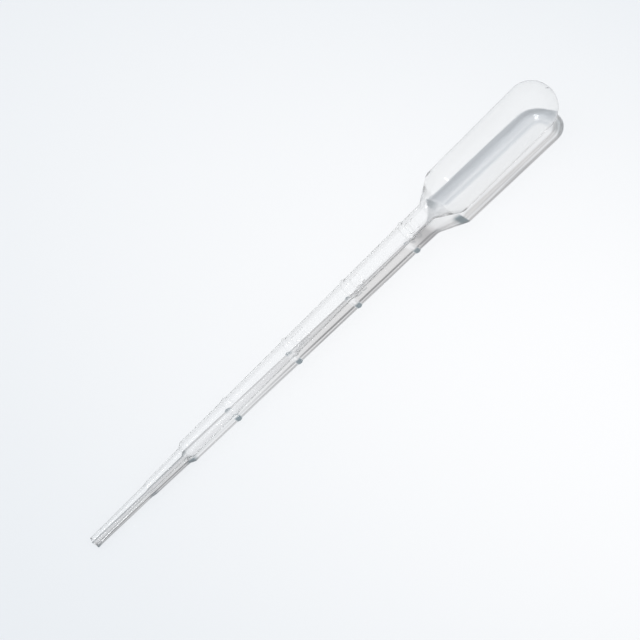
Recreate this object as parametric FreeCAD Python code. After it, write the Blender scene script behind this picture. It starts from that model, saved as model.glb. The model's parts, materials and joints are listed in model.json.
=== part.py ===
"""Graduated transfer pipette, blown in one piece from low-density polyethylene.

The wall is one closed skin: an open tip, a thin tube, a first step, a middle
tube, a second step, the graduated stem with four raised marks, a cone and a
closed squeeze bulb with a round end. The pipette lies as it comes to rest, on
the end of its tip and on the shoulder of the bulb, its thicker side down, with
+X from tip to bulb.
"""
import FreeCAD, Part
import math
import os

V = FreeCAD.Vector

# Overall form, mm, measured along the pipette's own axis from the tip.
TOTAL_LENGTH = 160.0
STEP_1_X = 17.6
STEP_1_LENGTH = 1.1
STEP_2_X = 29.7
STEP_2_LENGTH = 1.2
NECK_X = 114.8
SHOULDER_X = 121.6

# Outer radii.
TIP_R = 1.19
MIDDLE_START_R = 1.40
MIDDLE_END_R = 1.58
STEM_START_R = 2.30
STEM_END_R = 2.43
BULB_START_R = 6.45
BULB_END_R = 6.65

# Wall thickness: the wall thins where it is blown out most.
TIP_WALL = 0.38
STEM_WALL = 0.40
BULB_WALL = 0.36

# The cavity drifts off the axis as the wall is blown, so one side of the wall is
# heavier, and the pipette comes to rest with that side down.
CAVITY_DRIFT = 0.04

# Graduation marks: raised beads, one for each quarter of a millilitre.
MARK_COUNT = 4
MARK_FIRST_X = 45.6
MARK_PITCH = 20.63
MARK_HALF_WIDTH = 0.85
MARK_HEIGHT = 0.30

# Radii of the rounded corners.
STEP_BEND = 0.8
NECK_BEND = 3.0
SHOULDER_BEND = 2.6

# Weld across the pole of the bulb, where the mould pinched the tube shut.
WELD_LENGTH = 4.6
WELD_WIDTH = 0.45
WELD_HEIGHT = 0.14
WELD_TURN = -36.0

# Turn, in degrees, that takes the revolved form's closing edge off the top.
SEAM_TURN = 9.46


def line(a, b):
    """Straight edge between two (x, r) points."""
    return Part.LineSegment(V(a[0], 0, a[1]), V(b[0], 0, b[1])).toShape()


def arc(a, m, b):
    """Circular edge through three (x, r) points."""
    return Part.Arc(V(a[0], 0, a[1]), V(m[0], 0, m[1]), V(b[0], 0, b[1])).toShape()


def bend(a, b, c, radius):
    """Start, middle and end of the arc that rounds the corner at b."""
    to_a = V(a[0] - b[0], 0, a[1] - b[1]).normalize()
    to_c = V(c[0] - b[0], 0, c[1] - b[1]).normalize()
    half = to_a.getAngle(to_c) / 2
    reach = radius / math.tan(half)
    middle = (to_a + to_c).normalize() * (radius / math.sin(half) - radius)
    start = (b[0] + to_a.x * reach, b[1] + to_a.z * reach)
    end = (b[0] + to_c.x * reach, b[1] + to_c.z * reach)
    return start, (b[0] + middle.x, b[1] + middle.z), end


def stem_radius(x):
    """Outer radius of the stem: plain as far as the first mark, then widening."""
    run = max(0.0, (x - MARK_FIRST_X) / (NECK_X - MARK_FIRST_X))
    return STEM_START_R + (STEM_END_R - STEM_START_R) * run


def mark_positions():
    """Axial position of each raised mark."""
    return [MARK_FIRST_X + i * MARK_PITCH for i in range(MARK_COUNT)]


def bead(x):
    """Start, top and end of the arc that a mark raises on the stem."""
    left = x - MARK_HALF_WIDTH
    right = x + MARK_HALF_WIDTH
    top = (x, stem_radius(x) + MARK_HEIGHT)
    return (left, stem_radius(left)), top, (right, stem_radius(right))


def corners(inside):
    """Corner points (x, r, bend radius) of the inner or outer skin, from the tip."""
    tip, stem, bulb = (TIP_WALL, STEM_WALL, BULB_WALL) if inside else (0.0, 0.0, 0.0)
    middle = (tip + stem) / 2
    step_bend = 0.0 if inside else STEP_BEND
    return [
        (0.0, TIP_R - tip, 0.0),
        (STEP_1_X, TIP_R - tip, step_bend),
        (STEP_1_X + STEP_1_LENGTH, MIDDLE_START_R - middle, step_bend),
        (STEP_2_X, MIDDLE_END_R - middle, step_bend),
        (STEP_2_X + STEP_2_LENGTH, STEM_START_R - stem, step_bend),
        (NECK_X, STEM_END_R - stem, NECK_BEND),
        (SHOULDER_X, BULB_START_R - bulb, SHOULDER_BEND - bulb),
        (TOTAL_LENGTH - BULB_END_R, BULB_END_R - bulb, 0.0),
    ]


def marks(here):
    """Edges of the stem's outer skin over its marks, and where they end."""
    edges = []
    for x in mark_positions():
        start, top, end = bead(x)
        edges += [line(here, start), arc(start, top, end)]
        here = end
    return edges, here


def skin(inside):
    """Edges of one skin of the wall, from the open tip to the bulb's pole."""
    points = corners(inside)
    edges = []
    here = points[0][:2]
    for before, at, after in zip(points, points[1:], points[2:]):
        if at[0] == NECK_X and not inside:
            raised, here = marks(here)
            edges += raised
        if at[2] == 0.0:
            edges.append(line(here, at[:2]))
            here = at[:2]
            continue
        start, middle, end = bend(before, at, after, at[2])
        edges += [line(here, start), arc(start, middle, end)]
        here = end
    centre, radius = points[-1][:2]
    edges.append(line(here, (centre, radius)))
    eighth = radius * math.sin(math.radians(45))
    pole = (centre + radius, 0.0)
    edges.append(arc((centre, radius), (centre + eighth, eighth), pole))
    return edges


def revolved(inside):
    """Solid that one skin bounds, revolved about the pipette's own axis."""
    edges = skin(inside)
    mouth = edges[0].Vertexes[0].Point
    pole = edges[-1].Vertexes[-1].Point
    edges.append(line((mouth.x, 0.0), (mouth.x, mouth.z)))
    edges.append(line((mouth.x, 0.0), (pole.x, 0.0)))
    wire = Part.Wire(Part.__sortEdges__(edges))
    return Part.Face(wire).revolve(V(0, 0, 0), V(1, 0, 0), 360)


def blown_wall():
    """The pipette's wall: its outer form, less the cavity blown inside it."""
    outer = revolved(inside=False)
    outer.rotate(V(0, 0, 0), V(1, 0, 0), SEAM_TURN)
    cavity = revolved(inside=True)
    cavity.translate(V(0, 0, CAVITY_DRIFT))
    return outer.cut(cavity)


def pinch_weld():
    """Low ridge that follows the round end of the bulb across its pole."""
    centre = V(TOTAL_LENGTH - BULB_END_R, 0, 0)
    outside = Part.makeSphere(BULB_END_R + WELD_HEIGHT, centre)
    inside = Part.makeSphere(BULB_END_R - BULB_WALL / 2, centre)
    corner = V(centre.x, -WELD_LENGTH / 2, -WELD_WIDTH / 2)
    blade = Part.makeBox(2 * BULB_END_R, WELD_LENGTH, WELD_WIDTH, corner)
    blade.rotate(V(0, 0, 0), V(1, 0, 0), WELD_TURN)
    return outside.cut(inside).common(blade)


def rest_tilt():
    """Tilt, in degrees, of the line that touches both the tip and the shoulder."""
    cone, shoulder, dome = corners(inside=False)[-3:]
    start, middle, end = bend(cone, shoulder, dome, SHOULDER_BEND)
    centre = arc(start, middle, end).Curve.Center
    to_centre = centre - V(0, 0, TIP_R)
    rise = math.atan2(to_centre.z, to_centre.x)
    return math.degrees(rise + math.asin(SHOULDER_BEND / to_centre.Length))


def at_rest(shape):
    """Lay the pipette on its tip and its shoulder, on Z = 0, centred in X."""
    lying = shape.copy()
    lying.rotate(V(0, 0, 0), V(0, 1, 0), -rest_tilt())
    box = lying.optimalBoundingBox(False)
    lying.translate(V(-(box.XMin + box.XMax) / 2, 0, -box.ZMin))
    return lying


def main():
    os.makedirs("parts", exist_ok=True)
    body = blown_wall().fuse(pinch_weld())
    pipette = at_rest(body.Solids[0])
    pipette.exportStep("parts/pipette.step")
    box = pipette.optimalBoundingBox(False)
    print("valid", pipette.isValid(), "volume mm3", round(pipette.Volume, 2))
    print("size", round(box.XLength, 3), round(box.YLength, 3), round(box.ZLength, 3))
    print("mass centre", pipette.CenterOfMass, "tilt", round(rest_tilt(), 4))
    print("tip centre", pipette.Placement.multVec(V(0, 0, 0)))
    print("towards tip", pipette.Placement.Rotation.multVec(V(-1, 0, 0)))
    stem_start = STEP_2_X + STEP_2_LENGTH
    print("stem start", pipette.Placement.multVec(V(stem_start, 0, 0)))


main()
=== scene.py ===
"""Looks of a graduated dropper pipette, blown in one piece from clear polyethylene."""
import json
import math

import bmesh
import bpy
from bpy.props import FloatProperty, FloatVectorProperty, IntProperty, PointerProperty
from mathutils import Matrix, Vector


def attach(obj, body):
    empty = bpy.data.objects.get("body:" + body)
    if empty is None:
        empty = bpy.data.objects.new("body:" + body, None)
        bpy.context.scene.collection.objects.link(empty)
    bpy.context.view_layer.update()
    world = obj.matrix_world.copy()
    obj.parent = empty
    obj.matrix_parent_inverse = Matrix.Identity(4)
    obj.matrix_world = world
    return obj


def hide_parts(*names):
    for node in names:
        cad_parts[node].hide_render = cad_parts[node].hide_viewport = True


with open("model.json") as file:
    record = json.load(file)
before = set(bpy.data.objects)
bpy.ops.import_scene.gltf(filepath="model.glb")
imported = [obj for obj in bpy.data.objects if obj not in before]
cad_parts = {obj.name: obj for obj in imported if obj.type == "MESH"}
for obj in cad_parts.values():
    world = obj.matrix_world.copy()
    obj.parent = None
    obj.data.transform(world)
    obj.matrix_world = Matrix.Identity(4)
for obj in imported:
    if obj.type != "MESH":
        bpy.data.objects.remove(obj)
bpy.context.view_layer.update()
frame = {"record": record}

bl_info = {
    "name": "Dropper Pipette",
    "version": (1, 0, 0),
    "blender": (4, 5, 0),
    "location": "3D View > Sidebar > Pipette",
    "description": "Builds a graduated dropper pipette and a pale studio round it",
    "category": "Add Mesh",
}

MM = 0.001


def mount(name):
    """The record's mount of that name."""
    return next(m for m in frame["record"]["mounts"] if m["name"] == name)


# The pipette's own frame: its origin at the tip's mouth, X towards the bulb.
TO_TIP = Vector(mount("tip")["axis"])
TIP_CENTRE = Vector(mount("tip")["pos_m"]) + TO_TIP * mount("tip")["dims"]["length_mm"] * MM / 2
ALONG = -TO_TIP.normalized()
SIDE = Vector((0, 1, 0))
UP = ALONG.cross(SIDE)


def millimetres(name, description, value):
    """A length property, given in millimetres and kept in metres."""
    return FloatProperty(
        name=name, description=description, default=value * MM, unit="LENGTH", precision=5
    )


class PipetteSizes(bpy.types.PropertyGroup):
    """Outer and wall sizes of the blown body."""

    length: millimetres("Length", "Tip to pole of the bulb", 160.0)
    step_1: millimetres("First step", "Where the thin tube ends", 17.6)
    step_1_length: millimetres("First step length", "Length of the first step", 1.1)
    step_2: millimetres("Second step", "Where the middle tube ends", 29.7)
    step_2_length: millimetres("Second step length", "Length of the second step", 1.2)
    neck: millimetres("Neck", "Where the stem meets the cone", 114.8)
    shoulder: millimetres("Shoulder", "Where the cone meets the bulb", 121.6)
    tip_radius: millimetres("Tip radius", "Outer radius of the thin tube", 1.19)
    middle_start: millimetres("Middle radius", "Middle tube, at the first step", 1.40)
    middle_end: millimetres("Middle end radius", "Middle tube, at the second step", 1.58)
    stem_start: millimetres("Stem radius", "Stem, at the second step", 2.30)
    stem_end: millimetres("Stem end radius", "Stem, at the neck", 2.43)
    bulb_start: millimetres("Bulb radius", "Bulb, at the shoulder", 6.45)
    bulb_end: millimetres("Bulb end radius", "Bulb, at its round end", 6.65)
    tip_wall: millimetres("Tip wall", "Wall thickness at the tip", 0.38)
    stem_wall: millimetres("Stem wall", "Wall thickness of the stem", 0.40)
    bulb_wall: millimetres("Bulb wall", "Wall thickness of the bulb", 0.36)
    drift: millimetres("Cavity drift", "How far the cavity sits above the axis", 0.04)
    step_bend: millimetres("Step bend", "Radius of the rounded steps", 0.8)
    neck_bend: millimetres("Neck bend", "Radius of the rounded neck", 3.0)
    shoulder_bend: millimetres("Shoulder bend", "Radius of the rounded shoulder", 2.6)
    mark_first: millimetres("First mark", "Distance of the first mark from the tip", 45.6)
    mark_pitch: millimetres("Mark pitch", "Distance between two marks", 20.63)
    mark_half: millimetres("Mark half width", "Half the width of a raised mark", 0.85)
    mark_height: millimetres("Mark height", "How far a mark stands proud", 0.30)
    weld_length: millimetres("Weld length", "Length of the weld on the round end", 4.6)
    weld_width: millimetres("Weld width", "Width of the weld on the round end", 0.45)
    weld_height: millimetres("Weld height", "How far the weld stands proud", 0.14)
    weld_turn: FloatProperty(
        name="Weld turn", description="Turn of the weld about the axis", subtype="ANGLE",
        default=math.radians(-36.0),
    )
    lip: millimetres("Lip", "Rounding of the mouth's rim", 0.09)
    numeral_height: millimetres("Numeral height", "Height of the raised numerals", 2.4)
    numeral_stroke: millimetres("Numeral stroke", "Width of a numeral's strokes", 0.34)
    numeral_rise: millimetres("Numeral rise", "How far the numerals stand proud", 0.12)
    numeral_gap: millimetres("Numeral gap", "From a mark's middle to its numeral", 1.1)
    numeral_base: FloatProperty(
        name="Numeral base", description="Where round the stem the numerals stand",
        subtype="ANGLE", default=math.radians(-27.0),
    )
    marks: IntProperty(name="Marks", description="Number of raised marks", default=4)
    sides: IntProperty(name="Sides", description="Facets round the body", default=120)


class PipetteColours(bpy.types.PropertyGroup):
    """Colours of the plastic and of the studio."""

    stem: FloatVectorProperty(
        name="Stem", description="Colour of the clear plastic of the stem", subtype="COLOR",
        default=(0.992, 0.994, 0.996), min=0, max=1,
    )
    bulb: FloatVectorProperty(
        name="Bulb", description="Colour of the milkier plastic of the bulb", subtype="COLOR",
        default=(0.987, 0.988, 0.987), min=0, max=1,
    )
    floor: FloatVectorProperty(
        name="Floor", description="Colour of the studio floor", subtype="COLOR",
        default=(0.932, 0.936, 0.944), min=0, max=1,
    )


# Longest straight run between two rings, on the stem and on the bulb.
STEM_RUN = 1.0 * MM
BULB_RUN = 3.0 * MM

# Rings round a lip, a raised mark on each side of its middle, and the round end, which
# has more of them near its pole.
LIP_STEPS = 5
MARK_STEPS = {"outside": 8, "inside": 5}
END_STEPS = {"outside": 64, "inside": 24}
END_CROWDING = 1.3
POLE_RADIUS = 1e-7

# Fineness of the mesh under the numerals, and how far it runs past them.
NUMERAL_STEP = 0.11 * MM
NUMERAL_SECTOR = math.radians(2)
NUMERAL_MARGIN = 2
NUMERAL_MARGIN_ANGLE = 0.08

# How round the raised forms are across their width: a mark, a stroke and the weld.
MARK_ROUNDING = 1.5
STROKE_ROUNDING = 0.8
WELD_ROUNDING = 0.7


def corners(s, inside):
    """Corner points (x, radius, bend radius) of one skin, from the tip."""
    tip, stem, bulb = (s.tip_wall, s.stem_wall, s.bulb_wall) if inside else (0.0, 0.0, 0.0)
    middle = (tip + stem) / 2
    return [
        (0.0, s.tip_radius - tip, 0.0),
        (s.step_1, s.tip_radius - tip, s.step_bend),
        (s.step_1 + s.step_1_length, s.middle_start - middle, s.step_bend),
        (s.step_2, s.middle_end - middle, s.step_bend),
        (s.step_2 + s.step_2_length, s.stem_start - stem, s.step_bend),
        (s.mark_first, s.stem_start - stem, 0.0),
        (s.neck, s.stem_end - stem, s.neck_bend),
        (s.shoulder, s.bulb_start - bulb, s.shoulder_bend - bulb),
        (s.length - s.bulb_end, s.bulb_end - bulb, 0.0),
    ]


def bend(before, at, after, radius, count=9):
    """Points on the arc that rounds the corner at the middle point."""
    a = Vector(before[:2])
    b = Vector(at[:2])
    c = Vector(after[:2])
    to_a, to_c = (a - b).normalized(), (c - b).normalized()
    half = to_a.angle(to_c) / 2
    centre = b + (to_a + to_c).normalized() * radius / math.sin(half)
    start = b + to_a * radius / math.tan(half) - centre
    end = b + to_c * radius / math.tan(half) - centre
    turn = start.angle_signed(end)
    points = []
    for i in range(count + 1):
        step = -turn * i / count
        cos, sin = math.cos(step), math.sin(step)
        spoke = Vector((start.x * cos - start.y * sin, start.x * sin + start.y * cos))
        points.append(tuple(centre + spoke))
    return points


def rim(s, radius, inside):
    """Rounded edge of the mouth, from its front to the tube."""
    turn = 1 if inside else -1
    line = []
    for i in range(LIP_STEPS, -1, -1):
        angle = math.pi / 2 * i / LIP_STEPS
        away = turn * s.lip * (1 - math.cos(angle))
        line.append((s.lip * (1 - math.sin(angle)), radius + away))
    return line


def outline(s, inside):
    """Points (x, radius) of one skin, from the tip to the pole of the bulb."""
    points = corners(s, inside)
    line = rim(s, points[0][1], inside)
    for before, at, after in zip(points, points[1:], points[2:]):
        if at[2] > 0:
            line += bend(before, at, after, at[2])
        else:
            line.append(at[:2])
    centre, radius = points[-1][:2]
    steps = END_STEPS["inside" if inside else "outside"]
    for i in range(steps + 1):
        angle = math.pi / 2 * (1 - (1 - i / steps) ** END_CROWDING)
        line.append((centre + radius * math.sin(angle), radius * math.cos(angle)))
    return line


def radius_at(line, x):
    """Radius of an outline at a place before its round end."""
    for a, b in zip(line, line[1:]):
        if a[0] <= x <= b[0] and b[0] > a[0]:
            return a[1] + (b[1] - a[1]) * (x - a[0]) / (b[0] - a[0])
    return line[-1][1]


def mark_places(s):
    """Distance of each raised mark from the tip."""
    return [s.mark_first + i * s.mark_pitch for i in range(s.marks)]


def mark_rise(s, x):
    """Height of the raised marks at a place along the stem."""
    for middle in mark_places(s):
        away = abs(x - middle) / s.mark_half
        if away < 1.0:
            return s.mark_height * (1 - away * away) ** MARK_ROUNDING
    return 0.0


def divided(s, line):
    """The outline with its long straight runs divided, more finely on the stem."""
    points = [line[0]]
    for a, b in zip(line, line[1:]):
        longest = STEM_RUN if b[0] < s.shoulder else BULB_RUN
        count = max(1, math.ceil(math.dist(a, b) / longest))
        points += [tuple(Vector(a).lerp(Vector(b), i / count)) for i in range(1, count + 1)]
    return points


def with_stations(s, line, inside):
    """The outline with stations added for the raised marks and the numerals."""
    places = []
    steps = MARK_STEPS["inside" if inside else "outside"]
    for middle in mark_places(s):
        places += [middle + s.mark_half * j / steps for j in range(-steps - 1, steps + 2)]
    for start, label in [] if inside else numerals(s):
        count = math.ceil(label_width(label) * s.numeral_height / NUMERAL_STEP)
        places += [
            start + NUMERAL_STEP * j for j in range(-NUMERAL_MARGIN, count + NUMERAL_MARGIN)
        ]
    stations = sorted(line + [(x, radius_at(line, x)) for x in places])
    return [(x, radius + mark_rise(s, x)) for x, radius in stations]


# Strokes of the generic numerals, with a height of 1: points, then the width.
STROKES = {
    ".": ([[(0.06, 0.05), (0.09, 0.05)]], 0.15),
    "0": ([[(0.28, 1), (0.5, 0.87), (0.56, 0.5), (0.5, 0.13), (0.28, 0), (0.06, 0.13),
            (0, 0.5), (0.06, 0.87), (0.28, 1)]], 0.56),
    "1": ([[(0.02, 0.76), (0.24, 1), (0.24, 0)]], 0.28),
    "5": ([[(0.52, 1), (0.1, 1), (0.06, 0.57), (0.28, 0.63), (0.48, 0.53), (0.56, 0.32),
            (0.46, 0.09), (0.26, 0), (0.02, 0.08)]], 0.56),
    "7": ([[(0, 1), (0.56, 1), (0.2, 0)]], 0.56),
    "m": ([[(0, 0), (0, 0.62)], [(0, 0.46), (0.14, 0.61), (0.28, 0.6), (0.36, 0.48), (0.36, 0)],
           [(0.36, 0.46), (0.5, 0.61), (0.64, 0.6), (0.72, 0.48), (0.72, 0)]], 0.72),
    "l": ([[(0.06, 0), (0.06, 1)]], 0.12),
}
LETTER_GAP = 0.2
LABELS = ["", ".5ml", ".75", "1.0"]


def label_width(label):
    """Width of a label whose height is 1."""
    return sum(STROKES[letter][1] + LETTER_GAP for letter in label)


def numerals(s):
    """Start and text of each numeral that the stem carries."""
    return [(x + s.numeral_gap, label) for x, label in zip(mark_places(s), LABELS) if label]


def share(value, start, end):
    """How far a value has come from start to end: 0 to 1."""
    return max(0.0, min(1.0, (value - start) / (end - start)))


def to_stroke(point, a, b):
    """Distance of a point from one straight stroke."""
    run = b - a
    return (point - a - run * share((point - a).dot(run), 0.0, run.length_squared)).length


def numeral_relief(s, x, angle):
    """How much of its height a raised numeral has at a place on the stem: 0 to 1."""
    for start, label in numerals(s):
        if not -s.numeral_stroke < x - start < label_width(label) * s.numeral_height:
            continue
        across = (s.numeral_base - angle) * s.stem_end / s.numeral_height
        point = Vector(((x - start) / s.numeral_height, across))
        nearest, pen = math.inf, 0.0
        for letter in label:
            strokes, width = STROKES[letter]
            for stroke in strokes:
                ends = [Vector((px + pen, py)) for px, py in stroke]
                nearest = min(nearest, *[to_stroke(point, a, b) for a, b in zip(ends, ends[1:])])
            pen += width + LETTER_GAP
        away = nearest * s.numeral_height * 2 / s.numeral_stroke
        return max(0.0, 1 - away * away) ** STROKE_ROUNDING
    return 0.0


def weld_rise(s, x, y, z):
    """Height of the weld that crosses the pole of the round end."""
    if x < s.length - s.bulb_end / 3:
        return 0.0
    cos, sin = math.cos(s.weld_turn), math.sin(s.weld_turn)
    along, across = y * cos + z * sin, z * cos - y * sin
    ridge = max(0.0, 1 - (2 * across / s.weld_width) ** 2) ** WELD_ROUNDING
    return s.weld_height * ridge * share(s.weld_length / 2 - abs(along), 0.0, s.weld_width)


# How much of a full bend these count for: a bend on the far side of the body, the far
# side of the thin tubes, and a numeral's stroke.
FAR_BEND = 0.9
THIN_BEND = 0.75
NUMERAL_BEND = 0.5


def bent_wall(s, x, angle):
    """How sharply the wall bends at a place, most on the sides of the body: 0 to 1."""
    # Each bend: its place from the tip, half its width, and how strong it is.
    sharp = [(middle, 1.1 * s.mark_half, 1.7) for middle in mark_places(s)]
    sharp += [
        (s.step_1 + s.step_1_length / 2, s.step_1_length, 0.9),
        (s.step_2 + s.step_2_length / 2, s.step_2_length, 1.3),
        (s.neck, 0.6 * s.neck_bend, 0.3),
        (s.shoulder - 1.0 * MM, 0.48 * s.shoulder_bend, 2.4),
        (s.length - 2.6 * MM, 3.2 * MM, 0.5),
        (0.0, 1.1 * MM, 3.0),
    ]
    level = max(level * max(0.0, 1 - ((x - at) / half) ** 2) for at, half, level in sharp)
    near = share(-math.cos(angle), 0.35, 0.55)
    far = share(math.cos(angle), 0.55, 0.85)
    thin = THIN_BEND if x < s.step_2 else 0.0
    return max(min(1.0, level) * (near + FAR_BEND * far), thin * far)


def sector_angles(s):
    """Angles of the facets round the body, closer together where the numerals stand."""
    high = s.numeral_base + NUMERAL_MARGIN_ANGLE
    low = high - 2 * NUMERAL_MARGIN_ANGLE - s.numeral_height / s.stem_end
    fine = math.ceil((high - low) / NUMERAL_SECTOR)
    coarse = s.sides - fine
    rest = 2 * math.pi - (high - low)
    return [low + (high - low) * i / fine for i in range(fine)] + [
        high + rest * i / coarse for i in range(coarse)
    ]


def row_point(x, y, z):
    """A point of the pipette's own frame, in the row frame."""
    return TIP_CENTRE + ALONG * x + SIDE * y + UP * z


def add_skin(s, mesh, line, lift, relief):
    """Rings of vertices along an outline, closed at the pole, with the skin's relief."""
    own = mesh.verts.layers.float_vector["own_place"]
    bent = mesh.verts.layers.float["bent_wall"]
    angles = sector_angles(s)
    rings = []
    for x, radius in line:
        ring = []
        for angle in angles if radius > POLE_RADIUS else angles[:1]:
            y, z = radius * math.cos(angle), radius * math.sin(angle)
            point, raised = Vector((x, y, z)), 0.0
            if relief:
                outward = Vector((max(0.0, x - s.length + s.bulb_end), y, z)).normalized()
                raised = numeral_relief(s, x, angle)
                point += outward * (s.numeral_rise * raised + weld_rise(s, x, y, z))
            vertex = mesh.verts.new(row_point(point.x, point.y, point.z + lift))
            vertex[own] = point
            vertex[bent] = max(bent_wall(s, x, angle), NUMERAL_BEND * raised)
            ring.append(vertex)
        rings.append(ring)
    return rings


def bridge(mesh, rings, outward, slot):
    """Faces between neighbouring rings, in one material slot."""
    for a, b in zip(rings, rings[1:]):
        count = len(a)
        for j in range(count):
            k = (j + 1) % count
            corner = [a[j], a[k], b[k], b[j]] if len(b) > 1 else [a[j], a[k], b[0]]
            mesh.faces.new(corner if outward else corner[::-1]).material_index = slot


def blown_mesh(s):
    """Mesh of the whole wall: outer skin, inner skin and the mouth's rim."""
    outer = with_stations(s, divided(s, outline(s, inside=False)), inside=False)
    inner = with_stations(s, divided(s, outline(s, inside=True)), inside=True)
    mesh = bmesh.new()
    mesh.verts.layers.float_vector.new("own_place")
    mesh.verts.layers.float.new("bent_wall")
    outside = add_skin(s, mesh, outer, 0.0, relief=True)
    inside = add_skin(s, mesh, inner, s.drift, relief=False)
    bridge(mesh, outside, True, 0)
    bridge(mesh, inside, False, 1)
    bridge(mesh, [inside[0], outside[0]], True, 0)
    data = bpy.data.meshes.new("blown_body")
    bmesh.ops.remove_doubles(mesh, verts=mesh.verts, dist=1e-8)
    bmesh.ops.recalc_face_normals(mesh, faces=mesh.faces)
    mesh.to_mesh(data)
    mesh.free()
    data.polygons.foreach_set("use_smooth", [True] * len(data.polygons))
    return data


def new_group(name, inputs, outputs):
    """An empty shader group with named sockets: (name, kind, default)."""
    group = bpy.data.node_groups.new(name, "ShaderNodeTree")
    for label, kind, value in inputs:
        socket = group.interface.new_socket(name=label, in_out="INPUT", socket_type=kind)
        if value is not None:
            socket.default_value = value
    for label, kind in outputs:
        group.interface.new_socket(name=label, in_out="OUTPUT", socket_type=kind)
    return group, group.nodes.new("NodeGroupInput"), group.nodes.new("NodeGroupOutput")


def attribute(nodes, name):
    """Node that reads one of the body's own measures."""
    node = nodes.new("ShaderNodeAttribute")
    node.attribute_name = name
    return node


def math_node(nodes, links, operation, first, second, third=None):
    """A math node; each term is a socket or a number."""
    node = nodes.new("ShaderNodeMath")
    node.operation = operation
    for socket, term in zip(node.inputs, (first, second, third)):
        if isinstance(term, (int, float)):
            socket.default_value = term
        elif term is not None:
            links.new(term, socket)
    return node.outputs["Value"]


def blown_streaks():
    """Group: faint streaks along the body, left where the wall was drawn out."""
    group, inside, outside = new_group(
        "blown_streaks",
        [("Place", "NodeSocketVector", None), ("Across", "NodeSocketFloat", 900.0),
         ("Along", "NodeSocketFloat", 20.0)],
        [("Streaks", "NodeSocketFloat")],
    )
    nodes, links = group.nodes, group.links
    scale = nodes.new("ShaderNodeCombineXYZ")
    stretch = nodes.new("ShaderNodeVectorMath")
    stretch.operation = "MULTIPLY"
    noise = nodes.new("ShaderNodeTexNoise")
    noise.inputs["Scale"].default_value = 1.0
    noise.inputs["Detail"].default_value = 2.0
    level = nodes.new("ShaderNodeMapRange")
    level.inputs["From Min"].default_value = 0.3
    level.inputs["From Max"].default_value = 0.7
    links.new(inside.outputs["Along"], scale.inputs["X"])
    links.new(inside.outputs["Across"], scale.inputs["Y"])
    links.new(inside.outputs["Across"], scale.inputs["Z"])
    links.new(inside.outputs["Place"], stretch.inputs[0])
    links.new(scale.outputs["Vector"], stretch.inputs[1])
    links.new(stretch.outputs["Vector"], noise.inputs["Vector"])
    links.new(noise.outputs["Fac"], level.inputs["Value"])
    links.new(level.outputs["Result"], outside.inputs["Streaks"])
    return group


def milkiness():
    """Group: how milky the plastic is, from the clear stem to the bulb."""
    group, inside, outside = new_group(
        "milkiness",
        [("Place", "NodeSocketVector", None), ("Start", "NodeSocketFloat", 0.114),
         ("End", "NodeSocketFloat", 0.123), ("Stem", "NodeSocketColor", (1, 1, 1, 1)),
         ("Bulb", "NodeSocketColor", (1, 1, 1, 1))],
        [("Color", "NodeSocketColor"), ("Bulb Mask", "NodeSocketFloat")],
    )
    nodes, links = group.nodes, group.links
    split = nodes.new("ShaderNodeSeparateXYZ")
    mask = nodes.new("ShaderNodeMapRange")
    mask.interpolation_type = "SMOOTHSTEP"
    mix = nodes.new("ShaderNodeMix")
    mix.data_type = "RGBA"
    links.new(inside.outputs["Place"], split.inputs[0])
    links.new(split.outputs["X"], mask.inputs["Value"])
    links.new(inside.outputs["Start"], mask.inputs["From Min"])
    links.new(inside.outputs["End"], mask.inputs["From Max"])
    links.new(mask.outputs["Result"], mix.inputs["Factor"])
    links.new(inside.outputs["Stem"], mix.inputs["A"])
    links.new(inside.outputs["Bulb"], mix.inputs["B"])
    links.new(mix.outputs["Result"], outside.inputs["Color"])
    links.new(mask.outputs["Result"], outside.inputs["Bulb Mask"])
    return group


def handling_marks():
    """Group: dull patches that handling leaves on the gloss, and a fine grain."""
    group, inside, outside = new_group(
        "handling_marks",
        [("Place", "NodeSocketVector", None), ("Low", "NodeSocketFloat", 0.1),
         ("High", "NodeSocketFloat", 0.2)],
        [("Roughness", "NodeSocketFloat"), ("Grain", "NodeSocketFloat")],
    )
    nodes, links = group.nodes, group.links
    patches = nodes.new("ShaderNodeTexNoise")
    patches.inputs["Scale"].default_value = 260.0
    patches.inputs["Detail"].default_value = 3.0
    grain = nodes.new("ShaderNodeTexNoise")
    grain.inputs["Scale"].default_value = 2600.0
    grain.inputs["Detail"].default_value = 1.0
    level = nodes.new("ShaderNodeMapRange")
    level.inputs["From Min"].default_value = 0.35
    level.inputs["From Max"].default_value = 0.65
    for node in (patches, grain):
        links.new(inside.outputs["Place"], node.inputs["Vector"])
    links.new(patches.outputs["Fac"], level.inputs["Value"])
    links.new(inside.outputs["Low"], level.inputs["To Min"])
    links.new(inside.outputs["High"], level.inputs["To Max"])
    links.new(level.outputs["Result"], outside.inputs["Roughness"])
    links.new(grain.outputs["Fac"], outside.inputs["Grain"])
    return group


def ramp(nodes, links, value, stops, tint):
    """The colour of a ramp through (position, brightness) stops, tinted where it is dark."""
    node = nodes.new("ShaderNodeValToRGB")
    elements = node.color_ramp.elements
    while len(elements) < len(stops):
        elements.new(0.5)
    for element, (position, level) in zip(elements, stops):
        depth = (1 - level) * TINT_DEPTH
        element.position = position
        element.color = (*[min(1.0, level * (1 + (hue - 1) * depth)) for hue in tint], 1)
    links.new(value, node.inputs["Fac"])
    return node.outputs["Color"]


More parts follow.
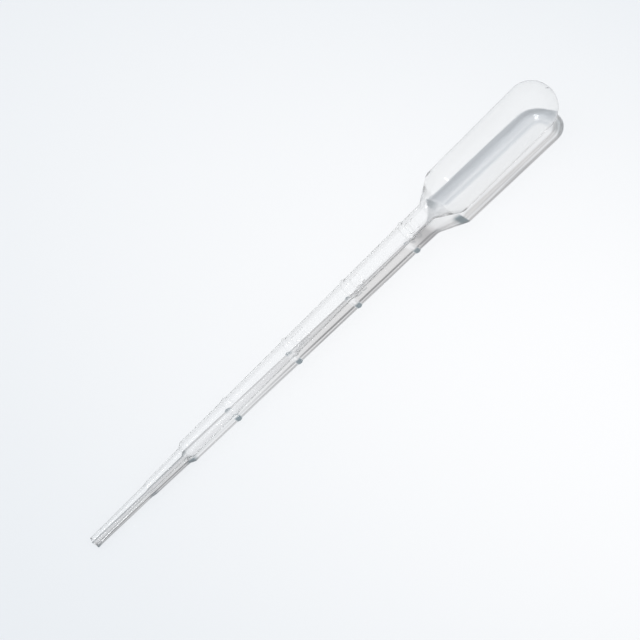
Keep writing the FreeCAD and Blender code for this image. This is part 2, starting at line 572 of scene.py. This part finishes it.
# Light that gets through the wall, by how far the skin turns from the light: flat
# on at 0, edge on at 1. Each list is for one stretch and side of the body.
NEAR_STEM = [(0.0, 0.72), (0.045, 0.70), (0.07, 0.66), (0.09, 0.12), (0.18, 0.08), (0.21, 0.68),
             (0.29, 0.74), (0.37, 0.46), (0.50, 0.34), (0.62, 0.55), (0.78, 0.92), (1.0, 0.97)]
FAR_STEM = [(0.0, 0.72), (0.08, 0.70), (0.13, 0.60), (0.20, 0.74), (0.35, 0.80), (0.50, 0.44),
            (0.68, 0.20), (0.80, 0.42), (0.90, 0.95), (1.0, 0.97)]
NEAR_BULB = [(0.0, 1.0), (0.035, 0.99), (0.06, 0.88), (0.085, 0.98), (0.107, 0.92), (0.15, 1.0),
             (0.19, 0.70), (0.225, 0.58), (0.26, 0.82), (0.31, 0.62), (0.36, 0.84), (0.43, 1.0),
             (0.50, 0.56), (0.60, 0.50), (0.72, 0.64), (0.82, 0.90), (1.0, 0.97)]
FAR_BULB = [(0.0, 1.0), (0.038, 1.0), (0.052, 0.93), (0.068, 0.80), (0.088, 0.68), (0.104, 0.72),
            (0.139, 0.84), (0.179, 0.72), (0.235, 0.67), (0.31, 0.56), (0.40, 0.44), (0.47, 0.39),
            (0.56, 0.38), (0.70, 0.45), (0.82, 0.78), (0.90, 0.97), (1.0, 0.97)]

# Tints of the dark parts of those ramps, and how strongly they take them.
GREY = (1.025, 1.0, 0.985)
WARM = (1.035, 1.0, 0.97)
BLUE = (0.945, 0.995, 1.05)
PLAIN = (1.0, 1.0, 1.0)
TINT_DEPTH = 3

# Light that gets through where nothing is in its way, at a fine streak, at a sharp bend
# and at the neck.
CLEAR = (1, 1, 1, 1)
STREAK_SHADE = (0.40, 0.42, 0.44, 1)
BEND_SHADE = (0.05, 0.12, 0.15, 1)
NECK_SHADE = (0.06, 0.05, 0.05, 1)

# Changes along the body, from the tip: start, end and the values there, which are 0 and
# 1 where none are given.
TUBES_END = (31.5 * MM, 29.5 * MM)
MARKS_BEGIN = (40.0 * MM, 39.0 * MM)
LINES_GROW = (45.0 * MM, 75.0 * MM, 0.25, 1.0)
BULB_BEGINS = (114.5 * MM, 115.5 * MM)
CONE_BEGINS = (113.5 * MM, 115.8 * MM)
CONE_ENDS = (122.6 * MM, 120.4 * MM)
NECK_BAND = [
    (107.5 * MM, 111.0 * MM, 0.0, 0.5),
    (113.5 * MM, 114.3 * MM, 1.0, 0.5),
    (115.0 * MM, 120.5 * MM, 1.0, 0.3),
    (120.5 * MM, 121.5 * MM, 1.0, 0.0),
]

# Changes across the body, with the skin's turn and with the kind of ray, in the same way.
NEAR_SIDE = (0.3 * MM, -0.3 * MM)
LOWER_HALF = (0.05 * MM, -0.05 * MM)
LINES_TURNED = (0.25, 0.35, 0.0, 0.8)
SOFT_LIGHT = (0, 1, 1, 0.5)

# The lines' sway: noise scales across and along the body, strength on the stem and on
# the bulb, and what the turn is multiplied by where the noise is 0.
SWAY_SCALES = (330.0, 22.0)
SWAY_STRENGTH = (0.36, 0.16)
SWAY_START = 0.86

# Fine streaks: noise scales in the same way, and strength.
STREAK_SCALES = (1700.0, 60.0)
STREAK_STRENGTH = 1.7

# On the cone the skin counts as flatter, and its far side shows less of the lines.
CONE_FLATNESS = 1.16
CONE_EASING = 0.52

# How much of the lines is left at a mark, and where that begins and ends, by the mark's
# half width.
LINES_AT_MARK = 0.35
MARK_REACH = (0.9, 1.2)


def level_node(nodes, links, value, start, end, low=0.0, high=1.0):
    """A node that takes a value's range from start to end into low to high."""
    node = nodes.new("ShaderNodeMapRange")
    for name, term in (("From Min", start), ("From Max", end), ("To Min", low), ("To Max", high)):
        node.inputs[name].default_value = term
    links.new(value, node.inputs["Value"])
    return node.outputs["Result"]


def drawn_noise(nodes, links, place, across, along):
    """Noise drawn out along the body, from 0 to 1."""
    stretch = nodes.new("ShaderNodeVectorMath")
    stretch.operation = "MULTIPLY"
    stretch.inputs[1].default_value = (along, across, across)
    noise = nodes.new("ShaderNodeTexNoise")
    noise.inputs["Scale"].default_value = 1.0
    links.new(place, stretch.inputs[0])
    links.new(stretch.outputs["Vector"], noise.inputs["Vector"])
    return level_node(nodes, links, noise.outputs["Fac"], 0.34, 0.66)


def colour_mix(nodes, links, factor, first, second, blend="MIX"):
    """A colour mix; each term is a socket, a colour or, for the factor, a number."""
    mix = nodes.new("ShaderNodeMix")
    mix.data_type = "RGBA"
    mix.blend_type = blend
    for name, term in (("Factor", factor), ("A", first), ("B", second)):
        if isinstance(term, bpy.types.NodeSocket):
            links.new(term, mix.inputs[name])
        else:
            mix.inputs[name].default_value = term
    return mix.outputs["Result"]


def skin_place(nodes, links):
    """The body's own place on its skin, whole and split into X, Y and Z."""
    place = attribute(nodes, "own_place").outputs["Vector"]
    split = nodes.new("ShaderNodeSeparateXYZ")
    links.new(place, split.inputs[0])
    return place, split.outputs


def skin_turn(nodes, links, place, bulb, cone):
    """How far the skin turns from the light, from 0, swayed where the wall is uneven."""
    sway = math_node(nodes, links, "MULTIPLY_ADD", drawn_noise(nodes, links, place, *SWAY_SCALES),
                     level_node(nodes, links, bulb, 0, 1, *SWAY_STRENGTH), SWAY_START)
    facing = nodes.new("ShaderNodeLayerWeight").outputs["Facing"]
    flat = math_node(nodes, links, "MULTIPLY", math_node(nodes, links, "SUBTRACT", 1.0, facing),
                     level_node(nodes, links, cone, 0, 1, 1, CONE_FLATNESS))
    turn = math_node(nodes, links, "MAXIMUM", math_node(nodes, links, "SUBTRACT", 1.0, flat), 0.0)
    return math_node(nodes, links, "MULTIPLY", turn, sway)


def passed_light(nodes, links, turn, near, bulb):
    """Light that gets through the wall of each stretch and side of the body."""
    rows = ((FAR_STEM, GREY), (NEAR_STEM, GREY), (FAR_BULB, BLUE), (NEAR_BULB, WARM))
    far_stem, near_stem, far_bulb, near_bulb = [
        ramp(nodes, links, turn, stops, tint) for stops, tint in rows
    ]
    on_stem = colour_mix(nodes, links, near, far_stem, near_stem)
    on_bulb = colour_mix(nodes, links, near, far_bulb, near_bulb)
    return colour_mix(nodes, links, bulb, on_stem, on_bulb)


def line_strength(nodes, links, sizes, along, turn, near, bulb, cone):
    """How strongly the lines show: less in the lower stem, at the marks and on the cone."""
    strong = math_node(nodes, links, "MAXIMUM", level_node(nodes, links, along, *LINES_GROW),
                       level_node(nodes, links, along, *TUBES_END))
    strong = math_node(nodes, links, "MAXIMUM", strong,
                       level_node(nodes, links, turn, *LINES_TURNED))
    eased = math_node(nodes, links, "MULTIPLY", cone,
                      level_node(nodes, links, near, 0, 1, CONE_EASING, 0.0))
    strong = math_node(nodes, links, "MULTIPLY", strong,
                       math_node(nodes, links, "SUBTRACT", 1.0, eased))

    # The marks repeat along the stem, but the bulb and the thin tubes have none.
    to_first = math_node(nodes, links, "SUBTRACT", along, sizes.mark_first)
    to_mark = math_node(nodes, links, "PINGPONG", to_first, sizes.mark_pitch / 2)
    reach = [part * sizes.mark_half for part in MARK_REACH]
    plain = math_node(nodes, links, "MAXIMUM", bulb,
                      level_node(nodes, links, to_mark, *reach, LINES_AT_MARK, 1.0))
    plain = math_node(nodes, links, "MAXIMUM", plain,
                      level_node(nodes, links, along, *MARKS_BEGIN))
    return math_node(nodes, links, "MULTIPLY", strong, plain)


def neck_band(nodes, links, along):
    """Mask of the dark band that the neck throws, fading over the cone."""
    band = 1.0
    for change in NECK_BAND:
        band = math_node(nodes, links, "MULTIPLY", level_node(nodes, links, along, *change), band)
    return band


def lined_veil(nodes, links, sizes):
    """Transparent shader for light on its way to the floor, lined as the wall bends it."""
    place, (along, across, height) = skin_place(nodes, links)
    bulb = level_node(nodes, links, along, *BULB_BEGINS)
    near = level_node(nodes, links, across, *NEAR_SIDE)
    cone = math_node(nodes, links, "MULTIPLY", level_node(nodes, links, along, *CONE_BEGINS),
                     level_node(nodes, links, along, *CONE_ENDS))
    turn = skin_turn(nodes, links, place, bulb, cone)
    light = passed_light(nodes, links, turn, near, bulb)

    # Fine streaks, more of them as the skin turns away.
    streaks = math_node(nodes, links, "MULTIPLY",
                        drawn_noise(nodes, links, place, *STREAK_SCALES), STREAK_STRENGTH)
    streaks = math_node(nodes, links, "MULTIPLY", streaks, turn)
    streaky = colour_mix(nodes, links, streaks, CLEAR, STREAK_SHADE)
    light = colour_mix(nodes, links, 1.0, light, streaky, "MULTIPLY")
    strong = line_strength(nodes, links, sizes, along, turn, near, bulb, cone)
    light = colour_mix(nodes, links, strong, CLEAR, light)

    # Darker at the neck, and where the wall bends along the body.
    light = colour_mix(nodes, links, neck_band(nodes, links, along), light, NECK_SHADE)
    bends = colour_mix(nodes, links, attribute(nodes, "bent_wall").outputs["Fac"],
                       CLEAR, BEND_SHADE)
    light = colour_mix(nodes, links, 1.0, light, bends, "MULTIPLY")

    # Only the lower half of the skin draws the lines, which keeps them sharp, and the
    # soft light from all sides is lined less.
    soft = nodes.new("ShaderNodeLightPath").outputs["Is Diffuse Ray"]
    lined = math_node(nodes, links, "MULTIPLY", level_node(nodes, links, height, *LOWER_HALF),
                      level_node(nodes, links, soft, *SOFT_LIGHT))
    veil = nodes.new("ShaderNodeBsdfTransparent")
    links.new(colour_mix(nodes, links, lined, CLEAR, light), veil.inputs["Color"])
    return veil


# How bright the plastic is as the wall turns edge on. This is partly its milkiness and partly
# painted shade at the wall's edge. The lists are for all round the stem; for the stem's underside,
# where a painted dark line stands in for the shadow seen through the lower wall; and for the bulb.
STEM_RIM = [(0.0, 1.0), (0.15, 1.0), (0.20, 0.88), (0.25, 0.90), (0.5, 0.92), (0.8, 0.97),
            (1.0, 1.0)]
STEM_PAINTED_UNDERSIDE_SHADE = [(0.0, 1.0), (0.15, 1.0), (0.20, 0.88), (0.40, 0.88), (0.52, 0.45), (0.80, 0.40),
            (1.0, 0.9)]
BULB_RIM = [(0.0, 1.0), (0.10, 1.0), (0.30, 0.975), (0.70, 0.98), (1.0, 1.0)]

# Where the painted shade on the underside begins, along the stem and down from its axis.
UNDERSIDE_SHADE_BEGINS = (45.0 * MM, 100.0 * MM)
UNDERSIDE_SHADE_DEPTH = (0.0, -0.5 * MM)


def milk_and_painted_edge_shade(nodes, links, colour, bulb_mask):
    """The plastic's colour, duller where more of the wall is looked through: partly milkiness,
    partly painted shade, with a painted dark line on the stem's underside.
    """
    along, _, height = skin_place(nodes, links)[1]
    # Mask of the painted dark line on the stem's underside, growing towards the bulb.
    low = math_node(nodes, links, "MULTIPLY", level_node(nodes, links, height, *UNDERSIDE_SHADE_DEPTH),
                    level_node(nodes, links, along, *UNDERSIDE_SHADE_BEGINS))
    facing = nodes.new("ShaderNodeLayerWeight").outputs["Facing"]
    stem, underside, bulb = [
        ramp(nodes, links, facing, stops, PLAIN) for stops in (STEM_RIM, STEM_PAINTED_UNDERSIDE_SHADE, BULB_RIM)
    ]
    milk = colour_mix(nodes, links, low, stem, underside)
    milk = colour_mix(nodes, links, bulb_mask, milk, bulb)
    return colour_mix(nodes, links, 1.0, colour, milk, "MULTIPLY")


# The clear plastic: its refractive index on the outside and in the cavity, how much
# light goes through it, and its roughness where it is clean and where it was handled.
OUTSIDE_IOR = 1.3
CAVITY_IOR = 1.2
CLEARNESS = 0.97
CLEAN_ROUGHNESS = 0.05
HANDLED_ROUGHNESS = 0.10

# The fine relief: its strength and depth, and how high the grain stands beside the
# streaks.
RELIEF_STRENGTH = 0.04
RELIEF_DEPTH = 0.02 * MM
GRAIN_HEIGHT = 0.02


def clear_plastic(name, sizes, colours, groups, outside):
    """Clear, slightly milky polyethylene, with the shadow that such a wall casts."""
    material = bpy.data.materials.new(name)
    material.use_nodes = True
    nodes, links = material.node_tree.nodes, material.node_tree.links
    shader = nodes["Principled BSDF"]
    shader.inputs["IOR"].default_value = OUTSIDE_IOR if outside else CAVITY_IOR
    shader.inputs["Transmission Weight"].default_value = CLEARNESS
    place = attribute(nodes, "own_place").outputs["Vector"]
    milk, streaks, handling = [nodes.new("ShaderNodeGroup") for _ in range(3)]
    milk.node_tree = groups["milkiness"]
    milk.inputs["Stem"].default_value = (*colours.stem, 1)
    milk.inputs["Bulb"].default_value = (*colours.bulb, 1)
    streaks.node_tree = groups["blown_streaks"]
    handling.node_tree = groups["handling_marks"]
    handling.inputs["Low"].default_value = CLEAN_ROUGHNESS
    handling.inputs["High"].default_value = HANDLED_ROUGHNESS
    for node in (milk, streaks, handling):
        links.new(place, node.inputs["Place"])
    colour = milk.outputs["Color"]
    if outside:
        # On the outside skin, the colour takes painted shade at the wall's edges and on the stem's
        # underside.
        colour = milk_and_painted_edge_shade(nodes, links, colour, milk.outputs["Bulb Mask"])
    links.new(colour, shader.inputs["Base Color"])
    links.new(handling.outputs["Roughness"], shader.inputs["Roughness"])
    relief = math_node(nodes, links, "MULTIPLY_ADD", handling.outputs["Grain"], GRAIN_HEIGHT,
                       streaks.outputs["Streaks"])
    bump = nodes.new("ShaderNodeBump")
    bump.inputs["Strength"].default_value = RELIEF_STRENGTH
    bump.inputs["Distance"].default_value = RELIEF_DEPTH
    links.new(relief, bump.inputs["Height"])
    links.new(bump.outputs["Normal"], shader.inputs["Normal"])

    veil = lined_veil(nodes, links, sizes) if outside else nodes.new("ShaderNodeBsdfTransparent")
    path = nodes.new("ShaderNodeLightPath")
    passing = math_node(nodes, links, "MAXIMUM", path.outputs["Is Shadow Ray"],
                        path.outputs["Is Diffuse Ray"])
    choose = nodes.new("ShaderNodeMixShader")
    links.new(passing, choose.inputs["Fac"])
    links.new(shader.outputs["BSDF"], choose.inputs[1])
    links.new(veil.outputs["BSDF"], choose.inputs[2])
    links.new(choose.outputs["Shader"], nodes["Material Output"].inputs["Surface"])
    return material


class PIPETTE_OT_blown_body(bpy.types.Operator):
    """Build the blown body with its raised marks"""

    bl_idname = "pipette.blown_body"
    bl_label = "Blown body"

    def execute(self, context):
        sizes = context.scene.pipette_sizes
        body = bpy.data.objects.new("blown_body", blown_mesh(sizes))
        context.scene.collection.objects.link(body)
        colours = context.scene.pipette_colours
        groups = {
            "milkiness": milkiness(),
            "blown_streaks": blown_streaks(),
            "handling_marks": handling_marks(),
        }
        for name, outside in (("polyethylene_outside", True), ("polyethylene_cavity", False)):
            body.data.materials.append(clear_plastic(name, sizes, colours, groups, outside))
        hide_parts("pipette")
        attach(body, "root")
        return {"FINISHED"}


# The camera: its direction and distance from the middle of the frame, its roll, how far
# right and up of that middle it aims, and its lens and sensor in mm.
CAMERA_WAY = Vector((-0.359, -0.550, 0.754)).normalized()
CAMERA_DISTANCE = 0.746
CAMERA_ROLL = math.radians(17.13)
CAMERA_AIM = (-0.00317, 0.00001)
CAMERA_LENS = 176.96
CAMERA_SENSOR = 36.0

# The key lamp is small and casts the shadow. The glint lamp is wide and only shines on
# the body.
KEY_WAY = Vector((0.004, 0.012, 1.0)).normalized()
KEY_DISTANCE = 3.0
KEY_SIZE = 0.06
KEY_POWER = 66.0
GLINT_WAY = Vector((-0.02, 0.012, 1.0)).normalized()
GLINT_DISTANCE = 4.0
GLINT_SIZE = 1.6
GLINT_POWER = 77.0

# The light from all sides: its colour, its strength as it lights the floor, and its
# strength as it is seen, also in reflections and through the plastic.
SKY = (0.975, 0.985, 1, 1)
SKY_FILL = 0.32
SKY_SEEN = 0.96

# The floor: half its width, how far it lies under the body, where its colour is palest, how far
# from there its painted falloff of light stops changing, and what its colour is multiplied by
# there, as painted shade away from the pipette.
FLOOR_HALF = 3.0
FLOOR_DROP = 0.1 * MM
FLOOR_CENTRE = (0.022, -0.075)
FLOOR_REACH = (0.16, 0.32)
FLOOR_PAINTED_FALLOFF = (0.835, 0.865, 0.892)


def camera_axes():
    """Right and up of the camera, with its roll."""
    up = (Vector((0, 0, 1)) - CAMERA_WAY * CAMERA_WAY.z).normalized()
    right = up.cross(CAMERA_WAY)
    cos, sin = math.cos(CAMERA_ROLL), math.sin(CAMERA_ROLL)
    return right * cos - up * sin, up * cos + right * sin


def add_camera(scene):
    """Camera at the pipette's viewing angle."""
    right, up = camera_axes()
    aim = right * CAMERA_AIM[0] + up * CAMERA_AIM[1]
    spot = CAMERA_WAY * CAMERA_DISTANCE
    z = (spot - aim).normalized()
    y = (up - z * up.dot(z)).normalized()
    x = y.cross(z)
    data = bpy.data.cameras.new("studio_camera")
    data.lens = CAMERA_LENS
    data.sensor_width = CAMERA_SENSOR
    data.clip_start = 0.01
    camera = bpy.data.objects.new("studio_camera", data)
    camera.matrix_world = Matrix.Translation(spot) @ Matrix((x, y, z)).transposed().to_4x4()
    scene.collection.objects.link(camera)
    scene.camera = camera


def add_lamp(scene, name, way, distance, size, power):
    """A round soft lamp that faces the pipette."""
    data = bpy.data.lights.new(name, "AREA")
    data.shape = "DISK"
    data.size = size
    data.energy = power
    lamp = bpy.data.objects.new(name, data)
    lamp.location = way * distance
    lamp.rotation_euler = way.to_track_quat("Z", "Y").to_euler()
    scene.collection.objects.link(lamp)
    return lamp


def floor_material(colour):
    """Pale matt floor, its colour painted a little darker away from the pipette as a painted
    falloff of light, with a fine grain.
    """
    material = bpy.data.materials.new("studio_floor")
    material.use_nodes = True
    nodes, links = material.node_tree.nodes, material.node_tree.links
    shader = nodes["Principled BSDF"]
    shader.inputs["Specular IOR Level"].default_value = 0.1
    where = nodes.new("ShaderNodeTexCoord")
    away = nodes.new("ShaderNodeMapping")
    for i in range(2):
        away.inputs["Location"].default_value[i] = -FLOOR_CENTRE[i] / FLOOR_REACH[i]
        away.inputs["Scale"].default_value[i] = 1 / FLOOR_REACH[i]
    distance = nodes.new("ShaderNodeVectorMath")
    distance.operation = "LENGTH"
    # Painted falloff of light: the floor's colour darkens away from its palest place.
    painted_falloff = nodes.new("ShaderNodeValToRGB")
    painted_falloff.color_ramp.interpolation = "EASE"
    painted_falloff.color_ramp.elements[0].color = (*colour, 1)
    painted_falloff.color_ramp.elements[1].color = (*[part * dim for part, dim in zip(colour, FLOOR_PAINTED_FALLOFF)], 1)
    grain = nodes.new("ShaderNodeTexNoise")
    grain.inputs["Scale"].default_value = 900.0
    level = nodes.new("ShaderNodeMapRange")
    level.inputs["To Min"].default_value = 0.84
    level.inputs["To Max"].default_value = 0.96
    bump = nodes.new("ShaderNodeBump")
    bump.inputs["Strength"].default_value = 0.05
    bump.inputs["Distance"].default_value = 0.05 * MM
    links.new(where.outputs["Object"], away.inputs["Vector"])
    links.new(away.outputs["Vector"], distance.inputs[0])
    links.new(distance.outputs["Value"], painted_falloff.inputs["Fac"])
    links.new(painted_falloff.outputs["Color"], shader.inputs["Base Color"])
    links.new(where.outputs["Object"], grain.inputs["Vector"])
    links.new(grain.outputs["Fac"], level.inputs["Value"])
    links.new(level.outputs["Result"], shader.inputs["Roughness"])
    links.new(grain.outputs["Fac"], bump.inputs["Height"])
    links.new(bump.outputs["Normal"], shader.inputs["Normal"])
    return material


def add_floor(scene, colour):
    """A wide pale floor."""
    data = bpy.data.meshes.new("studio_floor")
    half = FLOOR_HALF
    points = [(-half, -half, 0), (half, -half, 0), (half, half, 0), (-half, half, 0)]
    data.from_pydata(points, [], [(0, 1, 2, 3)])
    floor = bpy.data.objects.new("studio_floor", data)
    floor.location.z = -FLOOR_DROP
    data.materials.append(floor_material(colour))
    scene.collection.objects.link(floor)


def studio_world():
    """Soft light from all sides, which shows as white to the eye and in the plastic."""
    world = bpy.data.worlds.new("studio")
    world.use_nodes = True
    nodes, links = world.node_tree.nodes, world.node_tree.links
    nodes["Background"].inputs["Color"].default_value = SKY
    path = nodes.new("ShaderNodeLightPath").outputs
    seen = math_node(nodes, links, "ADD", path["Is Camera Ray"], path["Is Glossy Ray"])
    seen = math_node(nodes, links, "ADD", seen, path["Is Transmission Ray"])
    seen.node.use_clamp = True
    links.new(level_node(nodes, links, seen, 0, 1, SKY_FILL, SKY_SEEN),
              nodes["Background"].inputs["Strength"])

    # No rays are aimed at this light, which takes most of the specks out of the stem.
    world.cycles.sampling_method = "NONE"
    return world


class PIPETTE_OT_studio(bpy.types.Operator):
    """Build the pale floor, the soft lamps and the camera"""

    bl_idname = "pipette.studio"
    bl_label = "Studio"

    def execute(self, context):
        scene = context.scene
        scene.view_settings.view_transform = "Standard"
        add_floor(scene, scene.pipette_colours.floor)
        key = add_lamp(scene, "key_lamp", KEY_WAY, KEY_DISTANCE, KEY_SIZE, KEY_POWER)
        key.visible_transmission = key.visible_glossy = False
        glint = add_lamp(scene, "glint_lamp", GLINT_WAY, GLINT_DISTANCE, GLINT_SIZE, GLINT_POWER)
        glint.visible_diffuse = False
        glint_takers = bpy.data.collections.new("glint_takers")
        glint_takers.objects.link(bpy.data.objects["blown_body"])
        glint.light_linking.receiver_collection = glint_takers
        scene.world = studio_world()
        add_camera(scene)
        return {"FINISHED"}


class PIPETTE_PT_panel(bpy.types.Panel):
    """Sidebar panel of the pipette"""

    bl_idname = "PIPETTE_PT_panel"
    bl_label = "Dropper pipette"
    bl_space_type = "VIEW_3D"
    bl_region_type = "UI"
    bl_category = "Pipette"

    def draw(self, context):
        layout = self.layout
        for group in (context.scene.pipette_sizes, context.scene.pipette_colours):
            for name in group.bl_rna.properties.keys():
                if name not in ("rna_type", "name"):
                    layout.prop(group, name)
        layout.operator("pipette.blown_body")
        layout.operator("pipette.studio")


CLASSES = (PipetteSizes, PipetteColours, PIPETTE_OT_blown_body, PIPETTE_OT_studio, PIPETTE_PT_panel)


def register():
    for cls in CLASSES:
        bpy.utils.register_class(cls)
    bpy.types.Scene.pipette_sizes = PointerProperty(type=PipetteSizes)
    bpy.types.Scene.pipette_colours = PointerProperty(type=PipetteColours)


def unregister():
    del bpy.types.Scene.pipette_colours
    del bpy.types.Scene.pipette_sizes
    for cls in reversed(CLASSES):
        bpy.utils.unregister_class(cls)


def main():
    register()
    bpy.ops.pipette.blown_body()
    bpy.ops.pipette.studio()


if __name__ == "__main__":
    main()
